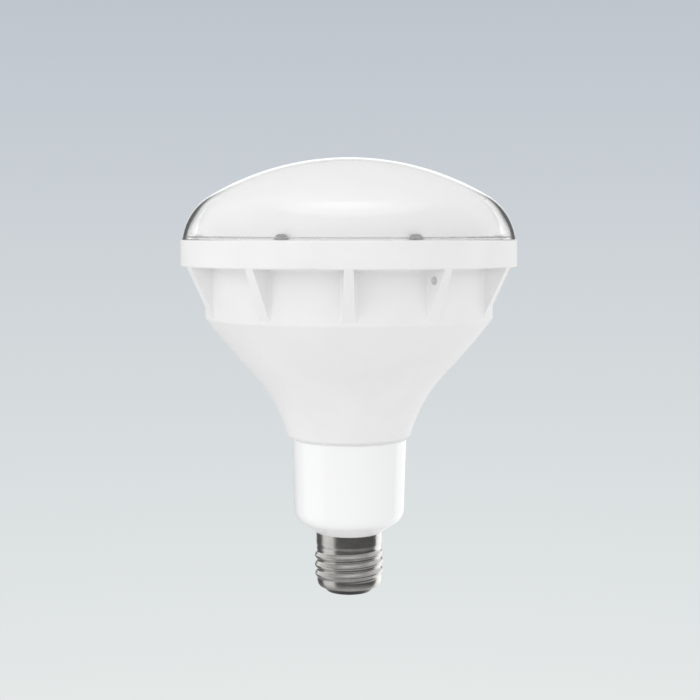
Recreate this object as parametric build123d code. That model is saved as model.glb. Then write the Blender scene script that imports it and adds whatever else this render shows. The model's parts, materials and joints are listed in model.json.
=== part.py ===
from build123d import *
import math
import os

# A reflector lamp: a finned die-cast body on a screw cap, with a white diffuser dome under a clear cover.
# Millimetres. The lamp's axis is Z, its cap points down, and the origin is the tip of the centre contact.
# The front fin points along -Y.

# Lengths along the axis, from the contact's tip up
TIP_DEPTH = 3.2
CAP_LENGTH = 21.0
COLLAR_LENGTH = 36.3
SEAL_THICKNESS = 0.6
BELL_HEIGHT = 45.6
WALL_HEIGHT = 19.5
RIM_HEIGHT = 9.9
DOME_HEIGHT = 31.1

# Finned casting
RIM_RADIUS = 63.5
RIM_OVERHANG = 9.0
RIM_ROUND = 0.7
RIM_TOP_ROUND = 0.35
UNDER_RIM_ROUND = 1.2
WALL_FOOT_ROUND = 1.6
NECK_OVERHANG = 1.4
NECK_ROUND = 1.7
WAIST_HEIGHT = 25.1
WAIST_DIP = 3.3
FLARE_LEAN = 9.0
CAST_WALL = 2.6
FIN_COUNT = 11
FIN_SETBACK = 0.2
FIN_FOOT_HEIGHT = 1.2
FIN_ROOT_THICKNESS = 4.6
FIN_TIP_THICKNESS = 3.2
FIN_ROOT_ROUND = 1.0
FIN_TIP_ROUND = 0.4
WIRE_HOLE_RADIUS = 1.6
WIRE_HOLE_INSET = 5.9
WIRE_HOLE_DROP = 3.9

# Neck joint: the collar's spigot snaps into the casting
NECK_BORE_DEPTH = 7.0
SPIGOT_WALL = 2.0
SPIGOT_CLEARANCE = 0.2
SNAP_COUNT = 4
SNAP_ARC = 24.0
SNAP_HEIGHT = 2.2
SNAP_REACH = 0.9
SLIT_WIDTH = 1.8
SLIT_DEPTH = 3.6
SLIT_MARGIN = 4.0
SEAL_WIDTH = 1.1

# Light engine
PLATE_DEPTH = 12.1
PLATE_THICKNESS = 3.0
PLATE_CLEARANCE = 0.3
LEDGE_WIDTH = 1.8
PLATE_BOSSES = 6
BOSS_INSET = 4.8
BOSS_RADIUS = 3.4
BOSS_DEPTH = 14.0
LED_BOARD_MARGIN = 1.8
LED_BOARD_THICKNESS = 1.6
LED_LENGTH = 3.5
LED_WIDTH = 2.8
LED_HEIGHT = 0.7
LED_EDGE = 5.0
LED_GAP = 2.5
OUTER_LEDS = 20
INNER_LEDS = 8
BOARD_SCREWS = 3
LEDS_BETWEEN_SCREWS = 4
WIRE_PASSAGE_RADIUS = 4.0
CONNECTOR_SIZE = (9.0, 7.0, 4.0)
CONNECTOR_OFFSET = 1.5
CONNECTOR_CHAMFER = 0.4

# Screws, pan headed
SCREW_RADIUS = 1.5
SCREW_HEAD_RADIUS = 2.8
SCREW_HEAD_HEIGHT = 2.0
SCREW_LENGTH = 8.0
SCREW_CLEARANCE = 0.2

# Front
COVER_SETBACK = 0.5
COVER_WALL = 1.2
COVER_SHOULDER = 22.5
SHOULDER_DROP = 2.45
FLANGE_THICKNESS = 2.0
FLANGE_WIDTH = 2.8
DIFFUSER_GAP = 0.2
DIFFUSER_INSET = 4.3
DIFFUSER_WALL = 1.5
DIFFUSER_SHOULDER = 20.0
DIFFUSER_LIP = 1.2
DIFFUSER_LIP_WIDTH = 5.2
CLIP_ROOM = 1.6
CLIP_COUNT = 8
CLIP_WIDTH = 4.6
CLIP_THICKNESS = 0.8
CLIP_HEAD = 0.9
CLIP_NOSE = 0.9
CLIP_ROUND = 1.5
CLIP_LEG = 6.0
CLIP_CLEARANCE = 0.15
GASKET_WIDTH = 1.2
GASKET_DEPTH = 0.9
GASKET_INSET = 0.7

# Collar and driver housing
COLLAR_SHOULDER = 1.4
COLLAR_TAPER = 1.1
COLLAR_CONE_HEIGHT = 5.8
COLLAR_ROUND = 6.0
COLLAR_EDGE_ROUND = 0.4
COLLAR_FLOOR = 2.8
COLLAR_WALL = 2.0
NOSE_WALL = 1.8
NOSE_LENGTH = 16.0
LEAD_HOLE_RADIUS = 3.2
HOUSING_CLEARANCE = 0.3
HOUSING_WALL = 1.4
HOUSING_LENGTH = 73.0
LID_THICKNESS = 1.6
LID_SKIRT = 4.0

# Screw cap
THREAD_CREST_RADIUS = 13.2
THREAD_ROOT_RADIUS = 12.3
THREAD_PITCH = 3.629
THREAD_TURNS = 3.4
THREAD_TOP_GAP = 6.0
THREAD_RIDGE_WIDTH = 3.0
THREAD_CREST_WIDTH = 1.0
SHELL_RADIUS = 12.6
SHELL_WALL = 0.35
LIP_RADIUS = 11.2
LIP_HEIGHT = 3.0
LIP_BOW_INSET = 0.33
LIP_BOW_HEIGHT = 1.2
NOSE_CLEARANCE = 0.2
INSULATOR_HEIGHT = 2.6
INSULATOR_FACE_RADIUS = 8.6
CONTACT_RADIUS = 4.8
CONTACT_THICKNESS = 1.2
CONTACT_ROUND = 0.6
CONTACT_STEM_RADIUS = 1.5
CONTACT_STEM_LENGTH = 6.0

# Driver
PCB_WIDTH = 28.0
PCB_THICKNESS = 1.6
PCB_Y = 5.0
PCB_MARGIN = 4.0
PCB_EDGE_GAP = 1.34
RAIL_DEPTH = 1.6
RAIL_WALL = 1.0
RAIL_CLEARANCE = 0.15
FUSE_RADIUS = 2.0
FUSE_LENGTH = 9.0
FUSE_ROUND = 0.6
FILM_CAPACITOR_SIZE = (10.5, 7.0, 8.0)
FILM_CAPACITOR_ROUND = 0.8
CHOKE_RADIUS = 5.0
CHOKE_HOLE_RADIUS = 1.9
CHOKE_HEIGHT = 5.0
CHOKE_ROUND = 1.2
RECTIFIER_SIZE = (5.0, 2.6, 8.0)
BULK_CAPACITOR_RADIUS = 4.8
BULK_CAPACITOR_LENGTH = 14.0
OUTPUT_CAPACITOR_RADIUS = 3.5
OUTPUT_CAPACITOR_LENGTH = 12.0
CORE_SIZE = (12.5, 6.0, 13.0)
CORE_LEG = 3.6
WINDOW_SIZE = (2.6, 8.8)
WINDING_DEPTH = 10.5
WINDING_ROUND = 2.0
TRANSISTOR_SIZE = (7.0, 3.2, 7.5)
TAB_THICKNESS = 1.2
TAB_LENGTH = 3.5
TAB_HOLE_RADIUS = 1.2
CHIP_SIZE = (5.0, 1.5, 4.0)
CHIP_LEG = 0.5
CHIP_LEGS = 4
COMPONENT_CHAMFER = 0.4
LEAD_RADIUS = 0.7
LEAD_BEND = 3.0
LEAD_PITCH = 4.0

# Heights that follow from the lengths
LIP_Z = TIP_DEPTH
COLLAR_Z = LIP_Z + CAP_LENGTH
COLLAR_TOP_Z = COLLAR_Z + COLLAR_LENGTH
NECK_Z = COLLAR_TOP_Z + SEAL_THICKNESS
FOOT_Z = NECK_Z + BELL_HEIGHT
RIM_Z = FOOT_Z + WALL_HEIGHT
SEAT_Z = RIM_Z + RIM_HEIGHT
APEX_Z = SEAT_Z + DOME_HEIGHT
LEDGE_Z = SEAT_Z - PLATE_DEPTH
PLATE_TOP_Z = LEDGE_Z + PLATE_THICKNESS
LED_BOARD_TOP_Z = PLATE_TOP_Z + LED_BOARD_THICKNESS
NECK_LEDGE_Z = NECK_Z + NECK_BORE_DEPTH
HOUSING_Z = COLLAR_Z + COLLAR_FLOOR
HOUSING_TOP_Z = HOUSING_Z + HOUSING_LENGTH
PCB_Z = HOUSING_Z + HOUSING_WALL + PCB_MARGIN
PCB_TOP_Z = HOUSING_TOP_Z - PCB_MARGIN - LID_SKIRT

# Radii that follow from the fits, from the driver's board outwards and from the rim inwards
HOUSING_INNER_RADIUS = math.hypot(PCB_WIDTH / 2 + PCB_EDGE_GAP, PCB_Y + PCB_THICKNESS)
HOUSING_RADIUS = HOUSING_INNER_RADIUS + HOUSING_WALL
COLLAR_INNER_RADIUS = HOUSING_RADIUS + HOUSING_CLEARANCE
SPIGOT_RADIUS = COLLAR_INNER_RADIUS + SPIGOT_WALL
NECK_BORE_RADIUS = SPIGOT_RADIUS + SPIGOT_CLEARANCE
COLLAR_TOP_RADIUS = NECK_BORE_RADIUS + COLLAR_SHOULDER
COLLAR_FOOT_RADIUS = COLLAR_TOP_RADIUS - COLLAR_TAPER
NECK_RADIUS = COLLAR_TOP_RADIUS + NECK_OVERHANG
WALL_RADIUS = RIM_RADIUS - RIM_OVERHANG
FIN_TIP_RADIUS = RIM_RADIUS - FIN_SETBACK
WIRE_HOLE_REACH = FIN_TIP_RADIUS - WIRE_HOLE_INSET
SEAT_RADIUS = WALL_RADIUS - CAST_WALL
LEDGE_RADIUS = SEAT_RADIUS - LEDGE_WIDTH
BOSS_CIRCLE = SEAT_RADIUS - BOSS_INSET
LED_BOARD_RADIUS = BOSS_CIRCLE - SCREW_HEAD_RADIUS - LED_BOARD_MARGIN
CONNECTOR_REACH = WIRE_PASSAGE_RADIUS + CONNECTOR_OFFSET + CONNECTOR_SIZE[1]
OUTER_RING_RADIUS = LED_BOARD_RADIUS - LED_EDGE
INNER_RING_RADIUS = math.hypot(CONNECTOR_SIZE[0] / 2, CONNECTOR_REACH) + LED_GAP + LED_LENGTH / 2
BOARD_SCREW_CIRCLE = (OUTER_RING_RADIUS + INNER_RING_RADIUS) / 2
COVER_RADIUS = RIM_RADIUS - COVER_SETBACK
DIFFUSER_RADIUS = COVER_RADIUS - COVER_WALL - DIFFUSER_INSET
DIFFUSER_LIP_OUTER = COVER_RADIUS - FLANGE_WIDTH - CLIP_ROOM
SHELL_INNER_RADIUS = THREAD_ROOT_RADIUS - SHELL_WALL
NOSE_RADIUS = SHELL_INNER_RADIUS - NOSE_CLEARANCE
CLIP_RADIUS = DIFFUSER_LIP_OUTER + CLIP_CLEARANCE + CLIP_THICKNESS / 2

# Directions round the axis
FRONT = -90.0
FIN_STEP = 360.0 / FIN_COUNT
FIN_ANGLES = [FRONT + FIN_STEP * i for i in range(FIN_COUNT)]
WIRE_FIN_ANGLE = FRONT + FIN_STEP
BOSS_ANGLES = [FRONT + FIN_STEP / 2 + 360.0 / PLATE_BOSSES * i for i in range(PLATE_BOSSES)]
CLIP_ANGLES = [FRONT + 360.0 / CLIP_COUNT * (i + 0.5) for i in range(CLIP_COUNT)]
SNAP_ANGLES = [FRONT + 360.0 / SNAP_COUNT * (i + 0.5) for i in range(SNAP_COUNT)]
BOARD_SCREW_ANGLES = [FRONT + 360.0 / BOARD_SCREWS * (i + 0.5) for i in range(BOARD_SCREWS)]
MIDDLE_STEP = 360.0 / BOARD_SCREWS / (LEDS_BETWEEN_SCREWS + 1)
MIDDLE_LEDS = [angle + MIDDLE_STEP * (i + 1)
               for angle in BOARD_SCREW_ANGLES for i in range(LEDS_BETWEEN_SCREWS)]


# Where a box or cylinder has its origin
STANDING = (Align.CENTER, Align.CENTER, Align.MIN)
HANGING = (Align.CENTER, Align.CENTER, Align.MAX)


def polar(radius, angle, z=0.0):
    """Point at this radius and angle round the axis."""
    return (radius * math.cos(math.radians(angle)), radius * math.sin(math.radians(angle)), z)


def turned(edges, rounds=()):
    """Solid of revolution of a closed outline drawn as (radius, height), with some corners rounded."""
    outline = make_face(edges)
    for corner, size in rounds:
        outline = fillet(outline.vertices().sort_by_distance(corner)[0], size)
    return revolve(Plane.XZ * outline, Axis.Z)


def ring(inner, outer, low, high):
    """Plain ring, or a disc where inner is zero."""
    return turned([Polyline((inner, low), (outer, low), (outer, high), (inner, high), close=True)])


def rod(point, radius, length):
    """Upright cylinder standing on a point."""
    return Pos(*point) * Cylinder(radius, length, align=STANDING)


def block(low, high):
    """Box between two corners."""
    size = [b - a for a, b in zip(low, high)]
    return Pos(*low) * Box(*size, align=(Align.MIN, Align.MIN, Align.MIN))


# The bell's outline is two arcs that meet at the waist. The waist lies inside the straight line from the neck
# to the wall's foot by a dip, and there the bell leans further out than that line by the flare's lean.
def bell_points(inset):
    """Waist point of the bell's wall this far in from its outer face, with the wall's direction there."""
    rise = (WALL_RADIUS - NECK_RADIUS) / BELL_HEIGHT
    lean = math.atan(rise) + math.radians(FLARE_LEAN)
    along = (math.sin(lean), math.cos(lean))
    inward = (-along[1], along[0])
    radius = NECK_RADIUS + rise * WAIST_HEIGHT - WAIST_DIP
    waist = (radius + inset * inward[0], NECK_Z + WAIST_HEIGHT + inset * inward[1])
    return waist, along, inward


def bell_circle(end):
    """Centre and radius of the circle that leaves the outer waist along the flare and passes a point."""
    waist, along, inward = bell_points(0.0)
    step = (end[0] - waist[0], end[1] - waist[1])
    reach = (step[0] ** 2 + step[1] ** 2) / (2 * (step[0] * inward[0] + step[1] * inward[1]))
    return (waist[0] + reach * inward[0], waist[1] + reach * inward[1]), reach


def lower_bell_radius(z, inset):
    """Radius of the bell below its waist at a height."""
    centre, reach = bell_circle((NECK_RADIUS, NECK_Z))
    return centre[0] - math.sqrt((inset - reach) ** 2 - (z - centre[1]) ** 2)


def upper_bell_height(radius, inset):
    """Height of the bell above its waist at a radius."""
    centre, reach = bell_circle((WALL_RADIUS, FOOT_Z))
    return centre[1] - math.sqrt((reach - inset) ** 2 - (radius - centre[0]) ** 2)


def bell_arcs(inset, low, high):
    """The two arcs of the bell's outline, from a low point over the waist to a high point."""
    waist, along, inward = bell_points(inset)
    down = (-along[0], -along[1])
    return [TangentArc(waist, low, tangent=down), TangentArc(waist, high, tangent=along)]


def casting_envelope():
    """Bell, upright wall and rim as one solid of revolution."""
    neck = (NECK_RADIUS, NECK_Z)
    foot = (WALL_RADIUS, FOOT_Z)
    under_rim = (WALL_RADIUS, RIM_Z)
    rim_edge = (RIM_RADIUS, RIM_Z)
    rim_top = (RIM_RADIUS, SEAT_Z)
    edges = bell_arcs(0.0, neck, foot)
    edges.append(Polyline(foot, under_rim, rim_edge, rim_top, (0, SEAT_Z), (0, NECK_Z), neck))
    rounds = [
        (neck, NECK_ROUND),
        (foot, WALL_FOOT_ROUND),
        (under_rim, UNDER_RIM_ROUND),
        (rim_edge, RIM_ROUND),
        (rim_top, RIM_TOP_ROUND),
    ]
    return turned(edges, rounds)


def casting_cavity():
    """Inside of the bell: neck bore, flared chamber and the seat of the light engine's plate."""
    low = (lower_bell_radius(NECK_LEDGE_Z, CAST_WALL), NECK_LEDGE_Z)
    high = (LEDGE_RADIUS, upper_bell_height(LEDGE_RADIUS, CAST_WALL))
    above = SEAT_Z + RIM_HEIGHT
    below = NECK_Z - NECK_BORE_DEPTH
    edges = bell_arcs(CAST_WALL, low, high)
    edges.append(Polyline(high, (LEDGE_RADIUS, LEDGE_Z), (SEAT_RADIUS, LEDGE_Z), (SEAT_RADIUS, above),
                          (0, above), (0, below), (NECK_BORE_RADIUS, below), (NECK_BORE_RADIUS, NECK_LEDGE_Z),
                          low))
    return turned(edges)


def fins():
    """Cooling fins under the rim: each tapers to its tip, and its outer edge leans outwards."""
    root = WALL_RADIUS - CAST_WALL / 2
    half_root = FIN_ROOT_THICKNESS / 2
    half_tip = FIN_TIP_THICKNESS / 2
    blade = make_face([Polyline((0, -half_root), (root, -half_root), (FIN_TIP_RADIUS, -half_tip),
                                (FIN_TIP_RADIUS, half_tip), (root, half_root), (0, half_root), close=True)])
    tips = blade.vertices().group_by(Axis.X)[-1]
    blade = fillet(tips, FIN_TIP_ROUND)
    star = Circle(WALL_RADIUS) + [Rot(0, 0, angle) * blade for angle in FIN_ANGLES]
    star = fillet(star.vertices().filter_by(meets_wall), FIN_ROOT_ROUND)
    top = RIM_Z + RIM_ROUND
    side = Polyline((root, FOOT_Z), (WALL_RADIUS, FOOT_Z + FIN_FOOT_HEIGHT), (FIN_TIP_RADIUS, RIM_Z),
                    (FIN_TIP_RADIUS + FIN_SETBACK / 2, top), (root, top), close=True)
    return extrude(Pos(0, 0, FOOT_Z) * star, WALL_HEIGHT + RIM_ROUND) & turned([side])


def meets_wall(corner):
    """Whether a corner of the fins' plan lies on the wall."""
    return abs(math.hypot(corner.X, corner.Y) - WALL_RADIUS) < CLIP_CLEARANCE


def wire_hole():
    """Cutter for the safety wire's hole, across the fin to the right of the front one."""
    z = RIM_Z - WIRE_HOLE_DROP
    drill = Pos(WIRE_HOLE_REACH, 0, z) * Rot(90, 0, 0) * Cylinder(WIRE_HOLE_RADIUS, 2 * FIN_ROOT_THICKNESS)
    return Rot(0, 0, WIRE_FIN_ANGLE) * drill


def clip_slot(angle):
    """Cutter for the slot that a hold-down clip's leg stands in."""
    room = 2 * CLIP_CLEARANCE
    size = (CLIP_THICKNESS + room, CLIP_WIDTH + room, CLIP_LEG + room)
    return Rot(0, 0, angle) * Pos(CLIP_RADIUS, 0, SEAT_Z) * Box(*size, align=HANGING)


def gasket_ring(depth):
    """Ring under the cover's flange, let into the rim."""
    outer = COVER_RADIUS - GASKET_INSET
    return ring(outer - GASKET_WIDTH, outer, SEAT_Z - depth, SEAT_Z)


def heat_sink():
    """Die-cast body in one piece."""
    envelope = casting_envelope()
    body = envelope + fins() - casting_cavity()
    pillars = [rod(polar(BOSS_CIRCLE, a, LEDGE_Z - BOSS_DEPTH), BOSS_RADIUS, BOSS_DEPTH) for a in BOSS_ANGLES]
    body += [pillar & envelope for pillar in pillars]
    pilot = SCREW_LENGTH
    body -= [rod(polar(BOSS_CIRCLE, a, LEDGE_Z - pilot), SCREW_RADIUS, pilot) for a in BOSS_ANGLES]
    body -= [clip_slot(angle) for angle in CLIP_ANGLES]
    body -= gasket_ring(GASKET_DEPTH)
    return body - wire_hole()


def dome_radius():
    """Radius of the cover's crown, which meets its shoulder smoothly and reaches the apex."""
    rise = DOME_HEIGHT + SHOULDER_DROP
    across = COVER_RADIUS - COVER_SHOULDER
    return (across ** 2 + rise ** 2 - COVER_SHOULDER ** 2) / (2 * (rise - COVER_SHOULDER))


def dome_arcs(crown, shoulder, edge, end_z):
    """Crown and shoulder arcs of a dome, down to a height near its widest place."""
    crown_z = APEX_Z - dome_radius()
    across = edge - shoulder
    lift = math.sqrt((crown - shoulder) ** 2 - across ** 2)
    turn = math.degrees(math.atan2(lift, across))
    low = math.degrees(math.asin((end_z - crown_z - lift) / shoulder))
    return [
        CenterArc((0, crown_z), crown, turn, 90 - turn),
        CenterArc((across, crown_z + lift), shoulder, low, turn - low),
    ]


def dome_shell(crown, shoulder, edge, wall, flange):
    """Thin dome with a flat flange at its foot, given as its outer and inner radius and its top."""
    flange_outer, flange_inner, flange_z = flange
    outer = dome_arcs(crown, shoulder, edge, flange_z)
    inner = dome_arcs(crown - wall, shoulder - wall, edge - wall, flange_z)
    outer_foot = outer[1] @ 0
    inner_foot = inner[1] @ 0
    foot = Polyline(outer_foot, (flange_outer, flange_z), (flange_outer, SEAT_Z), (flange_inner, SEAT_Z),
                    (flange_inner, flange_z), inner_foot)
    axis = Line(inner[0] @ 1, outer[0] @ 1)
    return turned(outer + inner + [foot, axis])


def front_cover():
    """Clear dome over everything, with the flange that stands on the rim."""
    flange = (COVER_RADIUS, COVER_RADIUS - FLANGE_WIDTH, SEAT_Z + FLANGE_THICKNESS)
    return dome_shell(dome_radius(), COVER_SHOULDER, COVER_RADIUS, COVER_WALL, flange)


def diffuser():
    """White dome close under the cover's crown, with the lip that the clips hold."""
    crown = dome_radius() - COVER_WALL - DIFFUSER_GAP
    lip = (DIFFUSER_LIP_OUTER, DIFFUSER_LIP_OUTER - DIFFUSER_LIP_WIDTH, SEAT_Z + DIFFUSER_LIP)
    return dome_shell(crown, DIFFUSER_SHOULDER, DIFFUSER_RADIUS, DIFFUSER_WALL, lip)


def cover_clip(angle):
    """Sheet-steel clip: a leg in the rim's slot and a round-cornered head hooked over the diffuser's lip."""
    head_z = SEAT_Z + DIFFUSER_LIP
    top_z = head_z + CLIP_HEAD
    outer = CLIP_RADIUS + CLIP_THICKNESS / 2
    inner = CLIP_RADIUS - CLIP_THICKNESS / 2
    nose = inner - CLIP_NOSE
    side = make_face([Polyline((inner, SEAT_Z - CLIP_LEG), (outer, SEAT_Z - CLIP_LEG), (outer, top_z),
                               (nose, top_z), (nose, head_z), (inner, head_z), close=True)])
    strip = extrude(Plane.XZ * side, CLIP_WIDTH / 2, both=True)
    height = top_z - SEAT_Z + CLIP_LEG
    front = Pos(0, SEAT_Z - CLIP_LEG + height / 2) * Rectangle(CLIP_WIDTH, height)
    front = fillet(front.vertices().group_by(Axis.Y)[-1], CLIP_ROUND)
    return Rot(0, 0, angle) * (strip & extrude(Plane.YZ * front, outer))


def pan_screw(angle, circle, seat_z):
    """Pan-headed screw, head down on a seat."""
    head_z = seat_z + SCREW_HEAD_HEIGHT
    tip_z = seat_z - SCREW_LENGTH
    corner = (SCREW_HEAD_RADIUS, head_z)
    edges = Polyline((0, tip_z), (SCREW_RADIUS, tip_z), (SCREW_RADIUS, seat_z), (SCREW_HEAD_RADIUS, seat_z),
                     corner, (0, head_z), close=True)
    return Pos(*polar(circle, angle)) * turned([edges], [(corner, SCREW_HEAD_HEIGHT / 2)])


def plate_screws():
    """Screws through the plate into the casting's bosses."""
    return [pan_screw(angle, BOSS_CIRCLE, PLATE_TOP_Z) for angle in BOSS_ANGLES]


def board_screws():
    """Screws through the LED board into the plate."""
    return [pan_screw(angle, BOARD_SCREW_CIRCLE, LED_BOARD_TOP_Z) for angle in BOARD_SCREW_ANGLES]


def led_plate():
    """Aluminium plate that carries the LED board and closes the bell."""
    plate = ring(0, SEAT_RADIUS - PLATE_CLEARANCE, LEDGE_Z, PLATE_TOP_Z)
    hole = SCREW_RADIUS + SCREW_CLEARANCE
    plate -= [rod(polar(BOSS_CIRCLE, a, LEDGE_Z), hole, PLATE_THICKNESS) for a in BOSS_ANGLES]
    pilots = [polar(BOARD_SCREW_CIRCLE, a, LEDGE_Z) for a in BOARD_SCREW_ANGLES]
    plate -= [rod(pilot, SCREW_RADIUS, PLATE_THICKNESS) for pilot in pilots]
    return plate - rod((0, 0, LEDGE_Z), WIRE_PASSAGE_RADIUS, PLATE_THICKNESS)


def led_board():
    """Round circuit board under the LEDs."""
    board = ring(0, LED_BOARD_RADIUS, PLATE_TOP_Z, LED_BOARD_TOP_Z)
    hole = SCREW_RADIUS + SCREW_CLEARANCE
    places = [polar(BOARD_SCREW_CIRCLE, a, PLATE_TOP_Z) for a in BOARD_SCREW_ANGLES]
    board -= [rod(place, hole, LED_BOARD_THICKNESS) for place in places]
    return board - rod((0, 0, PLATE_TOP_Z), WIRE_PASSAGE_RADIUS, LED_BOARD_THICKNESS)


def led_packages():
    """Three rings of LED packages on the board. The middle ring leaves its screws' places free."""
    package = Box(LED_LENGTH, LED_WIDTH, LED_HEIGHT, align=STANDING)
    outer = [FRONT + 360.0 / OUTER_LEDS * i for i in range(OUTER_LEDS)]
    inner = [FRONT + 360.0 / INNER_LEDS * i for i in range(INNER_LEDS)]
    rings = ((OUTER_RING_RADIUS, outer), (BOARD_SCREW_CIRCLE, MIDDLE_LEDS), (INNER_RING_RADIUS, inner))
    places = [Rot(0, 0, angle) * Pos(radius, 0, LED_BOARD_TOP_Z)
              for radius, angles in rings for angle in angles]
    return [place * package for place in places]


def connector_y():
    """Middle of the connector, beside the wire passage."""
    return CONNECTOR_REACH - CONNECTOR_SIZE[1] / 2


def board_connector():
    """Push-in connector on the LED board, with a port for each lead."""
    body = Pos(0, connector_y(), LED_BOARD_TOP_Z) * Box(*CONNECTOR_SIZE, align=STANDING)
    body = chamfer(body.faces().sort_by(Axis.Z)[-1].edges(), CONNECTOR_CHAMFER)
    for x in lead_places():
        port = Cylinder(LEAD_RADIUS + RAIL_CLEARANCE, CONNECTOR_SIZE[1])
        face_y = connector_y() - CONNECTOR_SIZE[1] / 2
        body -= Pos(x, face_y, lead_port_z()) * Rot(90, 0, 0) * port
    return body


def lead_places():
    """Sideways places of the two leads to the LED board."""
    return (-LEAD_PITCH / 2, LEAD_PITCH / 2)


def lead_port_z():
    """Height of the connector's ports."""
    return LED_BOARD_TOP_Z + CONNECTOR_SIZE[2] / 2


def lead(points):
    """Insulated wire along straight runs and round bends."""
    path = FilletPolyline(*points, radius=LEAD_BEND)
    start = Plane(origin=path @ 0, z_dir=path % 0)
    return sweep(start * Circle(LEAD_RADIUS), path=path)


def led_leads():
    """Pair of leads from the driver up through the plate to the connector."""
    port_y = connector_y()
    lift = lead_port_z()
    start_z = PCB_TOP_Z - PCB_MARGIN
    drop = PCB_Y - 2 * LEAD_BEND
    above_lid = HOUSING_TOP_Z + LID_THICKNESS + LEAD_BEND
    return [lead([(x, PCB_Y, start_z), (x, drop, start_z), (x, drop, above_lid),
                  (x, 0, LEDGE_Z - 2 * LEAD_BEND), (x, 0, lift), (x, port_y, lift)])
            for x in lead_places()]


def collar_outline_radius(z):
    """Outer radius of the collar's straight side at a height."""
    share = (z - COLLAR_Z) / COLLAR_LENGTH
    return COLLAR_FOOT_RADIUS + share * (COLLAR_TOP_RADIUS - COLLAR_FOOT_RADIUS)


def cone_run():
    """Widening of the collar's conical underside for each millimetre of height."""
    return (collar_outline_radius(COLLAR_Z + COLLAR_CONE_HEIGHT) - SHELL_RADIUS) / COLLAR_CONE_HEIGHT


def cone_radius(z, inset):
    """Radius at a height of a cone this far inside the collar's underside."""
    run = cone_run()
    return SHELL_RADIUS + run * (z - COLLAR_Z) - inset * math.hypot(1, run)


def cone_height(radius, inset):
    """Height at a radius of the same cone."""
    run = cone_run()
    return COLLAR_Z + (radius - SHELL_RADIUS + inset * math.hypot(1, run)) / run


def neck_collar():
    """White plastic collar: nose inside the screw shell, cup round the driver, and a snap-in spigot."""
    nose_z = COLLAR_Z - NOSE_LENGTH
    cone_z = COLLAR_Z + COLLAR_CONE_HEIGHT
    corner = (collar_outline_radius(cone_z), cone_z)
    top = (COLLAR_TOP_RADIUS, COLLAR_TOP_Z)
    spigot_z = NECK_LEDGE_Z + SNAP_HEIGHT + CLIP_CLEARANCE
    outline = Polyline((NOSE_RADIUS - NOSE_WALL, nose_z), (NOSE_RADIUS, nose_z), (NOSE_RADIUS, COLLAR_Z),
                       (SHELL_RADIUS, COLLAR_Z), corner, top, (SPIGOT_RADIUS, COLLAR_TOP_Z),
                       (SPIGOT_RADIUS, spigot_z), (COLLAR_INNER_RADIUS, spigot_z),
                       (COLLAR_INNER_RADIUS, cone_height(COLLAR_INNER_RADIUS, COLLAR_WALL)),
                       (cone_radius(HOUSING_Z, COLLAR_WALL), HOUSING_Z),
                       (LEAD_HOLE_RADIUS, HOUSING_Z), (LEAD_HOLE_RADIUS, COLLAR_Z),
                       (NOSE_RADIUS - NOSE_WALL, COLLAR_Z), close=True)
    collar = turned([outline], [(corner, COLLAR_ROUND), (top, COLLAR_EDGE_ROUND)])
    hook_z = NECK_LEDGE_Z + CLIP_CLEARANCE
    root = COLLAR_INNER_RADIUS
    tip = NECK_BORE_RADIUS + SNAP_REACH
    hook = make_face([Polyline((root, hook_z), (tip, hook_z), (SPIGOT_RADIUS, spigot_z), (root, spigot_z),
                               close=True)])
    for angle in SNAP_ANGLES:
        collar += Rot(0, 0, angle - SNAP_ARC / 2) * revolve(Plane.XZ * hook, Axis.Z, SNAP_ARC)
    wall = (COLLAR_INNER_RADIUS + SPIGOT_RADIUS) / 2
    slit = Box(SLIT_DEPTH, SLIT_WIDTH, NECK_BORE_DEPTH, align=STANDING)
    slit = Pos(wall, 0, NECK_LEDGE_Z - SNAP_HEIGHT) * slit
    for angle in SNAP_ANGLES:
        for side in (-1, 1):
            collar -= Rot(0, 0, angle + side * (SNAP_ARC / 2 + SLIT_MARGIN)) * slit
    return collar


def neck_seal():
    """Flat rubber ring between the collar's shoulder and the casting."""
    return ring(NECK_BORE_RADIUS, NECK_BORE_RADIUS + SEAL_WIDTH, COLLAR_TOP_Z, NECK_Z)


def driver_housing():
    """Insulating tube round the driver, with rails for its board."""
    low = HOUSING_Z + HOUSING_WALL
    outer_inset = COLLAR_WALL + HOUSING_CLEARANCE
    inner_inset = outer_inset + HOUSING_WALL
    outline = Polyline((LEAD_HOLE_RADIUS, HOUSING_Z), (cone_radius(HOUSING_Z, outer_inset), HOUSING_Z),
                       (HOUSING_RADIUS, cone_height(HOUSING_RADIUS, outer_inset)),
                       (HOUSING_RADIUS, HOUSING_TOP_Z), (HOUSING_INNER_RADIUS, HOUSING_TOP_Z),
                       (HOUSING_INNER_RADIUS, cone_height(HOUSING_INNER_RADIUS, inner_inset)),
                       (cone_radius(low, inner_inset), low), (LEAD_HOLE_RADIUS, low), close=True)
    tube = turned([outline])
    inside = rod((0, 0, HOUSING_Z), HOUSING_RADIUS - HOUSING_WALL / 2, HOUSING_LENGTH)
    top = HOUSING_TOP_Z - LID_SKIRT - RAIL_CLEARANCE
    low_y = PCB_Y - RAIL_CLEARANCE
    high_y = PCB_Y + PCB_THICKNESS + RAIL_CLEARANCE
    edge = PCB_WIDTH / 2
    for side in (-1, 1):
        x = sorted((side * (edge - RAIL_DEPTH), side * HOUSING_RADIUS))
        slot_x = sorted((side * (edge - 2 * RAIL_DEPTH), side * (edge + RAIL_CLEARANCE)))
        rail = block((x[0], low_y - RAIL_WALL, PCB_Z - RAIL_WALL), (x[1], high_y + RAIL_WALL, top))
        rail -= block((slot_x[0], low_y, PCB_Z), (slot_x[1], high_y, top))
        tube += rail & inside
    return tube


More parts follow.
